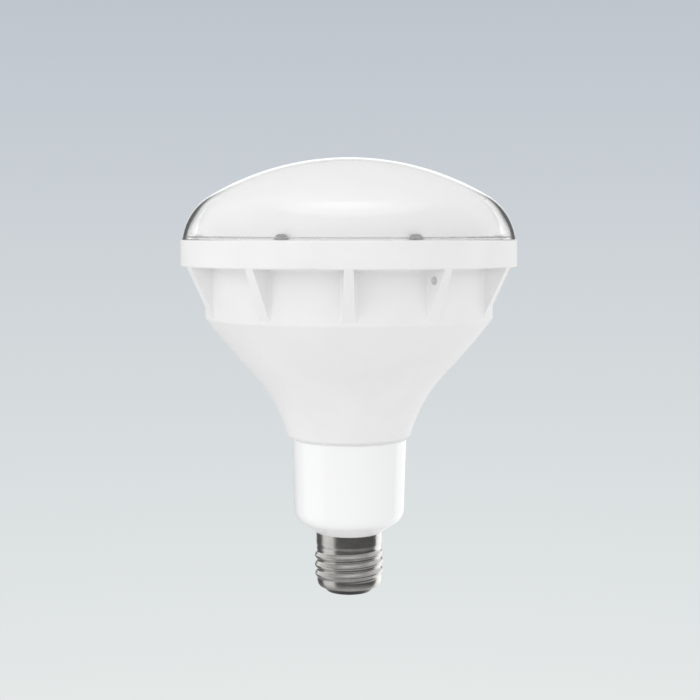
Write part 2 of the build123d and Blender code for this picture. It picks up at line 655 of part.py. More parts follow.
def housing_lid():
    """Cap on the driver housing, with a hole for the leads."""
    skirt = HOUSING_INNER_RADIUS - RAIL_CLEARANCE
    outline = Polyline((LEAD_HOLE_RADIUS, HOUSING_TOP_Z), (skirt - HOUSING_WALL, HOUSING_TOP_Z),
                       (skirt - HOUSING_WALL, HOUSING_TOP_Z - LID_SKIRT), (skirt, HOUSING_TOP_Z - LID_SKIRT),
                       (skirt, HOUSING_TOP_Z), (HOUSING_RADIUS, HOUSING_TOP_Z),
                       (HOUSING_RADIUS, HOUSING_TOP_Z + LID_THICKNESS),
                       (LEAD_HOLE_RADIUS, HOUSING_TOP_Z + LID_THICKNESS), close=True)
    return turned([outline], [((HOUSING_RADIUS, HOUSING_TOP_Z + LID_THICKNESS), LID_THICKNESS / 2)])


def thread_ridge():
    """Rolled thread that winds up the screw shell."""
    start_z = COLLAR_Z - THREAD_TOP_GAP - THREAD_TURNS * THREAD_PITCH
    path = Helix(THREAD_PITCH, THREAD_TURNS * THREAD_PITCH, THREAD_ROOT_RADIUS, center=(0, 0, start_z))
    depth = THREAD_CREST_RADIUS - THREAD_ROOT_RADIUS
    foot = SHELL_WALL / 2
    half = THREAD_RIDGE_WIDTH / 2
    crest = THREAD_CREST_WIDTH / 2
    shoulder = depth - THREAD_CREST_WIDTH / 4
    section = make_face([
        Polyline((shoulder, -crest), (-foot, -half), (-foot, half), (shoulder, crest)),
        ThreePointArc((shoulder, crest), (depth, 0), (shoulder, -crest)),
    ])
    start = Plane(origin=path @ 0, x_dir=(1, 0, 0), z_dir=path % 0)
    return sweep(start * section, path=path, is_frenet=True)


def screw_shell():
    """Plated shell of the screw cap: a thin tube with its rolled thread and turned-in lip."""
    thread_top_z = COLLAR_Z - THREAD_TOP_GAP / 2
    bend_z = LIP_Z + LIP_HEIGHT
    lip_inner = LIP_RADIUS - SHELL_WALL
    bow = (THREAD_ROOT_RADIUS - LIP_BOW_INSET, LIP_Z + LIP_BOW_HEIGHT)
    inner_bow = (bow[0] - SHELL_WALL, bow[1] + SHELL_WALL / 2)
    edges = [
        Line((LIP_RADIUS, LIP_Z), (lip_inner, LIP_Z)),
        ThreePointArc((lip_inner, LIP_Z), inner_bow, (SHELL_INNER_RADIUS, bend_z)),
        Polyline((SHELL_INNER_RADIUS, bend_z), (SHELL_INNER_RADIUS, COLLAR_Z), (SHELL_RADIUS, COLLAR_Z),
                 (SHELL_RADIUS, thread_top_z), (THREAD_ROOT_RADIUS, thread_top_z - SHELL_WALL),
                 (THREAD_ROOT_RADIUS, bend_z)),
        ThreePointArc((THREAD_ROOT_RADIUS, bend_z), bow, (LIP_RADIUS, LIP_Z)),
    ]
    return turned(edges) + thread_ridge()


def insulator_radius():
    """Outer radius of the insulator, just inside the shell's lip."""
    return LIP_RADIUS - SHELL_WALL - NOSE_CLEARANCE / 2


def base_insulator():
    """Black insulator between the shell and the centre contact."""
    face_z = CONTACT_THICKNESS
    outer = insulator_radius()
    stem = CONTACT_STEM_RADIUS
    outline = Polyline((stem, face_z), (INSULATOR_FACE_RADIUS, face_z), (outer, LIP_Z),
                       (outer, LIP_Z + INSULATOR_HEIGHT), (stem, LIP_Z + INSULATOR_HEIGHT), close=True)
    return turned([outline])


def centre_contact():
    """Brass contact with a flat, round-edged face and a stem through the insulator."""
    corner = (CONTACT_RADIUS, 0)
    stem_z = CONTACT_THICKNESS + CONTACT_STEM_LENGTH
    outline = Polyline((0, 0), corner, (CONTACT_RADIUS, CONTACT_THICKNESS),
                       (CONTACT_STEM_RADIUS, CONTACT_THICKNESS), (CONTACT_STEM_RADIUS, stem_z), (0, stem_z),
                       close=True)
    return turned([outline], [(corner, CONTACT_ROUND)])


def board_run(x, land_z):
    """Last points of a cap lead: under the driver board, up behind it and onto its back."""
    back = PCB_Y + PCB_THICKNESS
    behind = back + LEAD_BEND + RAIL_CLEARANCE
    floor_z = HOUSING_Z + HOUSING_WALL + 2 * LEAD_RADIUS
    return [(x, 0, floor_z), (x, behind, floor_z + LEAD_RADIUS), (x, behind, land_z), (x, back, land_z)]


def centre_lead():
    """Wire from the contact's stem up to the driver board."""
    start_z = CONTACT_THICKNESS + CONTACT_STEM_LENGTH
    return lead([(0, 0, start_z)] + board_run(0, PCB_Z + 4 * LEAD_BEND))


def shell_lead():
    """Wire from the inside of the screw shell up to the driver board."""
    low = LIP_Z + INSULATOR_HEIGHT + LEAD_RADIUS + RAIL_CLEARANCE
    start = RAIL_CLEARANCE - SHELL_INNER_RADIUS
    x = -3 * LEAD_RADIUS
    aside = start + 2 * LEAD_BEND
    floor_z = COLLAR_Z - LEAD_BEND
    return lead([(start, 0, low), (aside, 0, low), (aside, 0, floor_z - 2 * LEAD_BEND), (x, 0, floor_z)]
                + board_run(x, PCB_Z + 2 * LEAD_BEND))


def driver_board():
    """Circuit board of the driver, upright in the housing's rails."""
    half = PCB_WIDTH / 2
    return block((-half, PCB_Y, PCB_Z), (half, PCB_Y + PCB_THICKNESS, PCB_TOP_Z))


def board_layout():
    """Place of each component on the board: its middle's x, and its height above the board's lower edge."""
    rows = (
        (("fuse", 2 * FUSE_RADIUS, FUSE_LENGTH), ("film", FILM_CAPACITOR_SIZE[0], FILM_CAPACITOR_SIZE[2]),
         ("rectifier", RECTIFIER_SIZE[0], RECTIFIER_SIZE[2])),
        (("choke", 2 * CHOKE_RADIUS, 2 * CHOKE_RADIUS),
         ("bulk", 2 * BULK_CAPACITOR_RADIUS, 2 * BULK_CAPACITOR_RADIUS)),
        (("transformer", CORE_SIZE[0], CORE_SIZE[2]),
         ("transistor", TRANSISTOR_SIZE[0], TRANSISTOR_SIZE[2] + TAB_LENGTH)),
        (("chip", CHIP_SIZE[0] + 4 * CHIP_LEG, CHIP_SIZE[2]),
         ("lands", LEAD_PITCH + 2 * LEAD_RADIUS, 2 * LEAD_RADIUS),
         ("output", 2 * OUTPUT_CAPACITOR_RADIUS, 2 * OUTPUT_CAPACITOR_RADIUS)),
    )
    tall = [max(height for _, _, height in row) for row in rows]
    rise = (PCB_TOP_Z - PCB_Z - sum(tall)) / (len(rows) + 1)
    across = PCB_WIDTH - 2 * RAIL_DEPTH
    places = {}
    low = rise
    for row, height in zip(rows, tall):
        gap = (across - sum(width for _, width, _ in row)) / (len(row) + 1)
        left = gap - across / 2
        for name, width, _ in row:
            places[name] = (left + width / 2, low + height / 2)
            left += width + gap
        low += height + rise
    return places


def on_board(name):
    """Place of a component on the driver board's front face, facing away from the board."""
    x, height = board_layout()[name]
    return Pos(x, PCB_Y, PCB_Z + height) * Rot(90, 0, 0)


def standing_box(size):
    """Box of width, depth off the board and height, standing on the board's face."""
    width, depth, height = size
    return Box(width, height, depth, align=STANDING)


def bevelled_box(size):
    """The same box with its outer edges bevelled."""
    return chamfer(standing_box(size).faces().sort_by(Axis.Z)[-1].edges(), COMPONENT_CHAMFER)


def fuse_resistor():
    """Round resistor lying along the board."""
    body = Pos(0, 0, FUSE_RADIUS) * Rot(90, 0, 0) * Cylinder(FUSE_RADIUS, FUSE_LENGTH)
    return on_board("fuse") * fillet(body.edges(), FUSE_ROUND)


def film_capacitor():
    """Box capacitor across the mains."""
    body = standing_box(FILM_CAPACITOR_SIZE)
    return on_board("film") * fillet(body.faces().sort_by(Axis.Z)[-1].edges(), FILM_CAPACITOR_ROUND)


def bridge_rectifier():
    """Flat four-legged rectifier."""
    return on_board("rectifier") * bevelled_box(RECTIFIER_SIZE)


def line_choke():
    """Wound ring core, flat on the board."""
    width = CHOKE_RADIUS - CHOKE_HOLE_RADIUS
    place = Pos(CHOKE_HOLE_RADIUS + width / 2, CHOKE_HEIGHT / 2)
    section = place * RectangleRounded(width, CHOKE_HEIGHT, CHOKE_ROUND)
    return on_board("choke") * revolve(Plane.XZ * section, Axis.Z)


def can_capacitor(radius, length):
    """Round can capacitor standing on the board, with the groove that holds its seal."""
    groove = radius / 8
    outline = Polyline((0, 0), (radius, 0), (radius, 2 * groove), (radius - groove, 3 * groove),
                       (radius, 4 * groove), (radius, length), (0, length), close=True)
    return turned([outline], [((radius, length), groove)])


def bulk_capacitor():
    """Large can on the mains side."""
    return on_board("bulk") * can_capacitor(BULK_CAPACITOR_RADIUS, BULK_CAPACITOR_LENGTH)


def output_capacitor():
    """Small can on the LED side."""
    return on_board("output") * can_capacitor(OUTPUT_CAPACITOR_RADIUS, OUTPUT_CAPACITOR_LENGTH)


def transformer_core():
    """Ferrite core: a frame with a middle leg."""
    width, depth, height = CORE_SIZE
    core = Box(width, height, depth)
    window = Box(*WINDOW_SIZE, 2 * depth)
    offset = (CORE_LEG + WINDOW_SIZE[0]) / 2
    core -= [Pos(-offset, 0, 0) * window, Pos(offset, 0, 0) * window]
    return on_board("transformer") * Pos(0, 0, WINDING_DEPTH / 2) * core


def transformer_winding():
    """Bobbin and wire round the core's middle leg, standing on the board."""
    room = 2 * RAIL_CLEARANCE
    width = CORE_LEG + 2 * WINDOW_SIZE[0] - room
    winding = Box(width, WINDOW_SIZE[1] - room, WINDING_DEPTH, align=STANDING)
    winding = fillet(winding.edges().filter_by(Axis.Y), WINDING_ROUND)
    leg = Box(CORE_LEG + room, 2 * WINDOW_SIZE[1], CORE_SIZE[1] + room)
    return on_board("transformer") * (winding - Pos(0, 0, WINDING_DEPTH / 2) * leg)


def power_transistor():
    """Switching transistor lying on its metal tab."""
    width, depth, height = TRANSISTOR_SIZE
    tab = Pos(0, height / 2, 0) * standing_box((width, TAB_THICKNESS, TAB_LENGTH))
    tab -= Pos(0, height / 2, 0) * Cylinder(TAB_HOLE_RADIUS, 2 * depth)
    return on_board("transistor") * (Pos(0, -TAB_LENGTH / 2, 0) * bevelled_box(TRANSISTOR_SIZE) + tab)


def driver_chip():
    """Control chip on pairs of legs."""
    width, _, height = CHIP_SIZE
    pitch = (height - CHIP_LEG) / (CHIP_LEGS - 1)
    leg = standing_box((width + 4 * CHIP_LEG, CHIP_LEG, CHIP_LEG))
    legs = [Pos(0, (i - (CHIP_LEGS - 1) / 2) * pitch, 0) * leg for i in range(CHIP_LEGS)]
    return on_board("chip") * (Pos(0, 0, CHIP_LEG / 2) * bevelled_box(CHIP_SIZE) + legs)


PARTS = {
    "heat_sink": heat_sink,
    "front_cover": front_cover,
    "diffuser": diffuser,
    "cover_clips": lambda: [cover_clip(angle) for angle in CLIP_ANGLES],
    "cover_gasket": lambda: gasket_ring(GASKET_DEPTH),
    "led_plate": led_plate,
    "plate_screws": plate_screws,
    "led_board": led_board,
    "led_packages": led_packages,
    "board_screws": board_screws,
    "board_connector": board_connector,
    "led_leads": led_leads,
    "neck_collar": neck_collar,
    "neck_seal": neck_seal,
    "driver_housing": driver_housing,
    "housing_lid": housing_lid,
    "screw_shell": screw_shell,
    "base_insulator": base_insulator,
    "centre_contact": centre_contact,
    "centre_lead": centre_lead,
    "shell_lead": shell_lead,
    "driver_board": driver_board,
    "fuse_resistor": fuse_resistor,
    "film_capacitor": film_capacitor,
    "line_choke": line_choke,
    "bulk_capacitor": bulk_capacitor,
    "bridge_rectifier": bridge_rectifier,
    "transformer_core": transformer_core,
    "transformer_winding": transformer_winding,
    "power_transistor": power_transistor,
    "output_capacitor": output_capacitor,
    "driver_chip": driver_chip,
}


def write_parts():
    """Write each sub-part to its own STEP file."""
    os.makedirs("parts", exist_ok=True)
    for name, make in PARTS.items():
        made = make()
        solids = made if isinstance(made, list) else [made]
        shape = Compound(children=[s for piece in solids for s in piece.solids()])
        export_step(shape, f"parts/{name}.step")


write_parts()
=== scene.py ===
import json
import math

import bpy
import bmesh
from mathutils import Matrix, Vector

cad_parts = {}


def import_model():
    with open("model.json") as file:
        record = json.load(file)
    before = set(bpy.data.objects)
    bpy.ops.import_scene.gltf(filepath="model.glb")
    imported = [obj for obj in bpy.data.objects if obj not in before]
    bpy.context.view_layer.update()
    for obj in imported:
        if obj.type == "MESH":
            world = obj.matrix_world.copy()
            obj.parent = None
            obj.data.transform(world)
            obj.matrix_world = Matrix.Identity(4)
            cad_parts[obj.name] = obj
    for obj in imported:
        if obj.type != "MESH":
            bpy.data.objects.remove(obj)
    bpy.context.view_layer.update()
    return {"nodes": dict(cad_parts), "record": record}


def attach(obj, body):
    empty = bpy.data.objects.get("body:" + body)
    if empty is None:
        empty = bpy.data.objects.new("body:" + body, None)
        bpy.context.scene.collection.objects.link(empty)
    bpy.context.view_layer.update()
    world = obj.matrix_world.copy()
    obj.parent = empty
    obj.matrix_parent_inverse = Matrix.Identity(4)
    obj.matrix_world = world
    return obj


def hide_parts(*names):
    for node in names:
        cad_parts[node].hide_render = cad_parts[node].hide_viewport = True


MM = 0.001

# Camera, fitted to the photograph: the lamp's axis stands upright in it
CAMERA_DISTANCE = 520.0 * MM
CAMERA_HEIGHT = 137.0 * MM
CAMERA_SIDE = 0.4 * MM
CAMERA_TILT = 4.70
LENS = 70.19
SENSOR = 36.0

# Screw shell, in millimetres, with the sizes of the solid one
SHELL_TOP = 24.2
SHELL_LIP = 3.2
SHELL_RADIUS = 12.6
THREAD_ROOT = 12.3
THREAD_CREST = 13.2
THREAD_PITCH = 3.629
THREAD_TURNS = 3.4
THREAD_TOP_GAP = 6.0
LIP_RADIUS = 11.2
LIP_HEIGHT = 3.0
SHEET = 0.35
SHELL_STEPS = 190
SHELL_TURNS = 160

# Domes, in millimetres, with the sizes of the solid ones
SEAT_Z = 136.1
APEX_Z = 167.2
CROWN_RADIUS = 102.24
COVER_RADIUS = 63.0
COVER_SHOULDER = 22.5
COVER_WALL = 1.2
FLANGE_INNER = 60.2
FLANGE_TOP = 137.0
DIFFUSER_RADIUS = 57.5
DIFFUSER_SHOULDER = 20.0
DIFFUSER_WALL = 1.5
DIFFUSER_GAP = 0.2
LIP_OUTER = 58.6
LIP_INNER = 53.4
LIP_TOP = 137.3
DOME_TURNS = 180

# Studio: a floor well below the lamp
FLOOR_Z = -0.6
FLOOR_RADIUS = 15.7
FLOOR_NEAR = 0.5
FLOOR_FAR = 1.3

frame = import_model()


class Nodes:
    """Small helper for building one node tree."""

    def __init__(self, tree):
        self.tree = tree

    def add(self, kind, inputs=None, **settings):
        """New node, with its settings and its inputs as values or as other nodes' outputs."""
        node = self.tree.nodes.new(kind)
        for name, value in settings.items():
            setattr(node, name, value)
        for name, value in (inputs or {}).items():
            if isinstance(value, bpy.types.NodeSocket):
                self.tree.links.new(value, node.inputs[name])
            else:
                node.inputs[name].default_value = value
        return node

    def math(self, operation, a, b=0.0, c=0.0):
        """Output of one math operation."""
        return self.add("ShaderNodeMath", {0: a, 1: b, 2: c}, operation=operation).outputs[0]

    def mix(self, factor, a, b):
        """Output of a mix of two colours."""
        made = self.add("ShaderNodeMix", {"Factor": factor}, data_type="RGBA")
        for socket, value in ((made.inputs[6], a), (made.inputs[7], b)):
            if isinstance(value, bpy.types.NodeSocket):
                self.tree.links.new(value, socket)
            else:
                socket.default_value = value
        return made.outputs[2]

    def ramp(self, factor, stops, interpolation="LINEAR"):
        """Colour ramp over a factor, from stops of place and grey or colour."""
        node = self.add("ShaderNodeValToRGB", {"Fac": factor})
        node.color_ramp.interpolation = interpolation
        elements = node.color_ramp.elements
        while len(elements) < len(stops):
            elements.new(1.0)
        for element, (place, colour) in zip(elements, stops):
            element.position = place
            element.color = grey(colour) if isinstance(colour, float) else (*colour, 1.0)
        return node.outputs["Color"]


def grey(value):
    """Opaque grey."""
    return (value, value, value, 1.0)


def linear(code):
    """Linear value of an 8-bit display value."""
    share = code / 255.0
    return share / 12.92 if share <= 0.04045 else ((share + 0.055) / 1.055) ** 2.4


def display(red, green, blue):
    """Linear colour of three 8-bit display values."""
    return (linear(red), linear(green), linear(blue))


def surface(name, colour, roughness, metallic=0.0, **sockets):
    """New material and its helper, with the shader's plain values set on its own sockets."""
    material = bpy.data.materials.new(name)
    material.use_nodes = True
    nodes = Nodes(material.node_tree)
    shader = material.node_tree.nodes["Principled BSDF"]
    shader.inputs["Base Color"].default_value = (*colour, 1.0)
    shader.inputs["Roughness"].default_value = roughness
    shader.inputs["Metallic"].default_value = metallic
    for socket, value in sockets.items():
        shader.inputs[socket.replace("_", " ")].default_value = value
    return material, nodes, shader


def grain(nodes, shader, scale, distance, detail=2.0, stretch=(1.0, 1.0, 1.0)):
    """Fine bump over the surface, its scale in features for each metre."""
    place = nodes.add("ShaderNodeTexCoord").outputs["Object"]
    place = nodes.add("ShaderNodeMapping", {"Vector": place, "Scale": stretch}).outputs["Vector"]
    noise = nodes.add("ShaderNodeTexNoise", {"Vector": place, "Scale": scale, "Detail": detail})
    height = noise.outputs["Fac"]
    bump = nodes.add("ShaderNodeBump", {"Height": height, "Distance": distance, "Strength": 1.0})
    nodes.tree.links.new(bump.outputs["Normal"], shader.inputs["Normal"])


def mottle(nodes, shader, low, high, scale, detail=3.0):
    """Slight change of colour over the surface."""
    place = nodes.add("ShaderNodeTexCoord").outputs["Object"]
    noise = nodes.add("ShaderNodeTexNoise", {"Vector": place, "Scale": scale, "Detail": detail})
    colour = nodes.ramp(noise.outputs["Fac"], ((0.3, low), (0.7, high)))
    nodes.tree.links.new(colour, shader.inputs["Base Color"])


def uneven(nodes, shader, low, high, scale, stretch=(1.0, 1.0, 1.0)):
    """Slight change of gloss over the surface."""
    place = nodes.add("ShaderNodeTexCoord").outputs["Object"]
    place = nodes.add("ShaderNodeMapping", {"Vector": place, "Scale": stretch}).outputs["Vector"]
    noise = nodes.add("ShaderNodeTexNoise", {"Vector": place, "Scale": scale, "Detail": 3.0})
    value = nodes.add("ShaderNodeMapRange", {"Value": noise.outputs["Fac"], "To Min": low, "To Max": high})
    nodes.tree.links.new(value.outputs["Result"], shader.inputs["Roughness"])


def coated_casting():
    """White powder coat on the die casting: a fine orange peel."""
    material, nodes, shader = surface("white_casting", grey(0.83)[:3], 0.5, Specular_IOR_Level=0.4)
    mottle(nodes, shader, 0.815, 0.845, 60.0)
    uneven(nodes, shader, 0.46, 0.56, 90.0)
    grain(nodes, shader, 1400.0, 0.02 * MM)
    return material


def clear_plastic():
    """Clear polycarbonate of the cover."""
    material, nodes, shader = surface("clear_cover", (1.0, 1.0, 1.0), 0.0, IOR=1.58, Transmission_Weight=1.0)
    grain(nodes, shader, 160.0, 0.002 * MM)
    return material


def milky_plastic():
    """White diffusing plastic under the cover."""
    material, nodes, shader = surface("white_diffuser", grey(0.83)[:3], 0.35)
    mottle(nodes, shader, 0.825, 0.84, 40.0)
    grain(nodes, shader, 900.0, 0.004 * MM)
    return material


def collar_plastic():
    """Glossy white plastic of the collar."""
    material, nodes, shader = surface("white_collar", (0.915, 0.918, 0.925), 0.16, IOR=1.5)
    uneven(nodes, shader, 0.13, 0.2, 120.0)
    grain(nodes, shader, 500.0, 0.003 * MM)
    return material


def rolled_nickel():
    """Nickel plating on the rolled cap, with fine lines round it."""
    material, nodes, shader = surface("nickel_plate", (0.66, 0.65, 0.62), 0.2, metallic=1.0)
    mottle(nodes, shader, (0.60, 0.59, 0.56), (0.70, 0.69, 0.665), 300.0)
    uneven(nodes, shader, 0.14, 0.3, 260.0, (1.0, 1.0, 8.0))
    grain(nodes, shader, 700.0, 0.006 * MM, 3.0, (1.0, 1.0, 9.0))
    return material


def metal(name, colour, low, high, stretch=(1.0, 1.0, 1.0)):
    """Plain metal with slightly uneven gloss."""
    material, nodes, shader = surface(name, colour, (low + high) / 2, metallic=1.0)
    dark = tuple(c * 0.93 for c in colour)
    mottle(nodes, shader, dark, colour, 400.0)
    uneven(nodes, shader, low, high, 500.0, stretch)
    grain(nodes, shader, 900.0, 0.004 * MM, 2.0, stretch)
    return material


def moulded(name, colour, roughness, peel=0.008):
    """Plain plastic, rubber or laminate with a fine texture."""
    material, nodes, shader = surface(name, colour, roughness)
    dark = tuple(c * 0.92 for c in colour)
    mottle(nodes, shader, dark, colour, 220.0)
    uneven(nodes, shader, roughness - 0.05, roughness + 0.05, 300.0)
    grain(nodes, shader, 1200.0, peel * MM)
    return material


def laminate(name, colour, track):
    """Circuit board: solder mask over faint copper tracks."""
    material, nodes, shader = surface(name, colour, 0.4)
    place = nodes.add("ShaderNodeTexCoord").outputs["Object"]
    cells = nodes.add("ShaderNodeTexVoronoi", {"Vector": place, "Scale": 260.0}, feature="DISTANCE_TO_EDGE")
    lines = nodes.ramp(cells.outputs["Distance"], ((0.0, track), (0.06, track), (0.09, colour)))
    nodes.tree.links.new(lines, shader.inputs["Base Color"])
    uneven(nodes, shader, 0.34, 0.46, 300.0)
    return material


MATERIALS = {
    "white_casting": coated_casting(),
    "clear_cover": clear_plastic(),
    "white_diffuser": milky_plastic(),
    "white_collar": collar_plastic(),
    "nickel_plate": rolled_nickel(),
    "clip_steel": metal("clip_steel", (0.78, 0.78, 0.78), 0.4, 0.55),
    "bare_aluminium": metal("bare_aluminium", (0.78, 0.78, 0.79), 0.3, 0.45),
    "screw_steel": metal("screw_steel", (0.62, 0.62, 0.64), 0.22, 0.35),
    "contact_brass": metal("contact_brass", (0.76, 0.63, 0.34), 0.25, 0.4),
    "dark_rubber": moulded("dark_rubber", grey(0.3)[:3], 0.6),
    "pale_rubber": moulded("pale_rubber", grey(0.86)[:3], 0.6),
    "black_glass": moulded("black_glass", (0.02, 0.02, 0.026), 0.12, 0.003),
    "white_laminate": laminate("white_laminate", (0.82, 0.82, 0.8), (0.76, 0.76, 0.74)),
    "green_laminate": laminate("green_laminate", (0.03, 0.16, 0.07), (0.05, 0.22, 0.1)),
    "phosphor": moulded("phosphor", (0.8, 0.6, 0.1), 0.5),
    "white_nylon": moulded("white_nylon", (0.8, 0.8, 0.77), 0.45),
    "red_insulation": moulded("red_insulation", (0.45, 0.03, 0.02), 0.4),
    "black_insulation": moulded("black_insulation", (0.02, 0.02, 0.02), 0.4),
    "white_insulation": moulded("white_insulation", (0.75, 0.75, 0.72), 0.4),
    "housing_plastic": moulded("housing_plastic", (0.76, 0.76, 0.74), 0.5),
    "black_component": moulded("black_component", (0.025, 0.025, 0.025), 0.5),
    "brown_component": moulded("brown_component", (0.2, 0.09, 0.04), 0.3),
    "yellow_component": moulded("yellow_component", (0.7, 0.5, 0.06), 0.3),
    "can_sleeve": moulded("can_sleeve", (0.02, 0.03, 0.08), 0.25),
    "ferrite": moulded("ferrite", (0.05, 0.05, 0.055), 0.55),
    "winding_tape": moulded("winding_tape", (0.72, 0.52, 0.08), 0.35),
}


def dress_nodes():
    """Give each node the finish that its slot names in the record."""
    slots = {row["node"]: row["material_slot"] for row in frame["record"]["subparts"]}
    for name, node in frame["nodes"].items():
        node.data.materials.clear()
        node.data.materials.append(MATERIALS[slots[name]])
    frame["nodes"]["neck_seal"].data.materials[0] = MATERIALS["pale_rubber"]


def thread_radius(z, turn):
    """Outer radius of the rolled shell at a height and an angle, in millimetres."""
    low = SHELL_TOP - THREAD_TOP_GAP - THREAD_TURNS * THREAD_PITCH
    high = SHELL_TOP - THREAD_TOP_GAP
    middle = (THREAD_CREST + THREAD_ROOT) / 2
    wave = math.cos(2 * math.pi * ((z - low) / THREAD_PITCH - turn))
    start = smooth((z - low) / THREAD_PITCH + 0.25)
    end = smooth((high - z) / THREAD_PITCH + 0.25)
    plain = THREAD_ROOT + (SHELL_RADIUS - THREAD_ROOT) * smooth((z - high) / 2.0)
    return plain + min(start, end) * (middle + (THREAD_CREST - middle) * wave - plain)


def smooth(share):
    """Smooth step from 0 to 1."""
    share = min(max(share, 0.0), 1.0)
    return share * share * (3 - 2 * share)


def shell_profile(turn):
    """Outline of the shell at one angle, outside from the top down, round the lip and up the inside."""
    outer = []
    steps = SHELL_STEPS
    bend = SHELL_LIP + LIP_HEIGHT
    for i in range(steps + 1):
        z = SHELL_TOP + (bend - SHELL_TOP) * i / steps
        outer.append((thread_radius(z, turn), z))
    start = outer[-1][0]
    for i in range(1, 17):
        angle = math.pi / 2 * i / 16
        radius = LIP_RADIUS + (start - LIP_RADIUS) * math.cos(angle)
        outer.append((radius, bend - LIP_HEIGHT * math.sin(angle)))
    inner = [(r - SHEET, max(z, SHELL_LIP + SHEET * 0.2)) for r, z in reversed(outer)]
    return outer + inner


def turned_piece(name, profile_at, turns, slot, node, tube=False):
    """Turned piece from its outline at each share of a turn, in place of a node of the frame.

    A tube's outline closes on itself, and any other starts and ends on the axis.
    """
    mesh = bmesh.new()
    rings = []
    for i in range(turns):
        angle = 2 * math.pi * i / turns
        rings.append([mesh.verts.new((r * math.cos(angle) * MM, r * math.sin(angle) * MM, z * MM))
                      for r, z in profile_at(i / turns)])
    count = len(rings[0])
    for i in range(turns):
        here = rings[i]
        there = rings[(i + 1) % turns]
        for j in range(count if tube else count - 1):
            k = (j + 1) % count
            mesh.faces.new((here[j], here[k], there[k], there[j]))
    bmesh.ops.remove_doubles(mesh, verts=mesh.verts, dist=0.0001 * MM)
    bmesh.ops.recalc_face_normals(mesh, faces=mesh.faces)
    data = bpy.data.meshes.new(name)
    mesh.to_mesh(data)
    mesh.free()
    data.shade_smooth()
    piece = bpy.data.objects.new(name, data)
    bpy.context.scene.collection.objects.link(piece)
    data.materials.append(MATERIALS[slot])
    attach(piece, "root")
    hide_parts(node)
    return piece


def eased(points, passes=60):
    """Points with the change of curvature between their arcs spread out, ends kept."""
    for _ in range(passes):
        middle = [((a[0] + b[0]) / 2, (a[1] + b[1]) / 2) for a, b in zip(points, points[2:])]
        points = [points[0]] + middle + [points[-1]]
    return points


def dome_line(crown, shoulder, edge, end_z, steps=120):
    """Dome's curve from the axis to a height near its widest place: a crown that runs into a shoulder."""
    crown_z = APEX_Z - CROWN_RADIUS
    across = edge - shoulder
    lift = math.sqrt((crown - shoulder) ** 2 - across ** 2)
    turn = math.atan2(lift, across)
    low = math.asin((end_z - crown_z - lift) / shoulder)
    points = []
    for i in range(steps):
        angle = math.pi / 2 + (turn - math.pi / 2) * i / steps
        points.append((crown * math.cos(angle) if i else 0.0, crown_z + crown * math.sin(angle)))
    for i in range(steps + 1):
        angle = turn + (low - turn) * i / steps
        points.append((across + shoulder * math.cos(angle), crown_z + lift + shoulder * math.sin(angle)))
    return points


def cover_profile(_):
    """Clear cover: outer curve, flange with its small rounded edge, and inner curve."""
    outer = eased(dome_line(CROWN_RADIUS, COVER_SHOULDER, COVER_RADIUS, FLANGE_TOP))
    inner = eased(dome_line(CROWN_RADIUS - COVER_WALL, COVER_SHOULDER - COVER_WALL,
                            COVER_RADIUS - COVER_WALL, FLANGE_TOP + 0.4))
    foot = [(COVER_RADIUS, SEAT_Z + 0.3), (COVER_RADIUS - 0.1, SEAT_Z + 0.1), (COVER_RADIUS - 0.3, SEAT_Z),
            (FLANGE_INNER + 0.1, SEAT_Z), (FLANGE_INNER, SEAT_Z + 0.1), (FLANGE_INNER, FLANGE_TOP - 0.4),
            (FLANGE_INNER + 0.1, FLANGE_TOP - 0.1), (FLANGE_INNER + 0.4, FLANGE_TOP),
            (FLANGE_INNER + 1.3, FLANGE_TOP + 0.1)]
    return outer + foot + inner[::-1]


def diffuser_profile(_):
    """White dome under the cover, with its lip."""
    crown = CROWN_RADIUS - COVER_WALL - DIFFUSER_GAP
    outer = eased(dome_line(crown, DIFFUSER_SHOULDER, DIFFUSER_RADIUS, LIP_TOP + 0.4))
    inner = eased(dome_line(crown - DIFFUSER_WALL, DIFFUSER_SHOULDER - DIFFUSER_WALL,
                            DIFFUSER_RADIUS - DIFFUSER_WALL, LIP_TOP + 0.4))
    foot = [(DIFFUSER_RADIUS + 0.3, LIP_TOP), (LIP_OUTER - 0.2, LIP_TOP), (LIP_OUTER, LIP_TOP - 0.2),
            (LIP_OUTER, SEAT_Z + 0.2), (LIP_OUTER - 0.2, SEAT_Z), (LIP_INNER + 0.2, SEAT_Z),
            (LIP_INNER, SEAT_Z + 0.2), (LIP_INNER, LIP_TOP - 0.2), (LIP_INNER + 0.2, LIP_TOP)]
    return outer + foot + inner[::-1]


def domes():
    """Cover and diffuser. Lamps and soft light reach the diffuser as if through thin clear plastic."""
    cover = turned_piece("smooth_cover", cover_profile, DOME_TURNS, "clear_cover", "front_cover")
    cover.visible_shadow = False
    cover.visible_diffuse = False
    turned_piece("smooth_diffuser", diffuser_profile, DOME_TURNS, "white_diffuser", "diffuser")


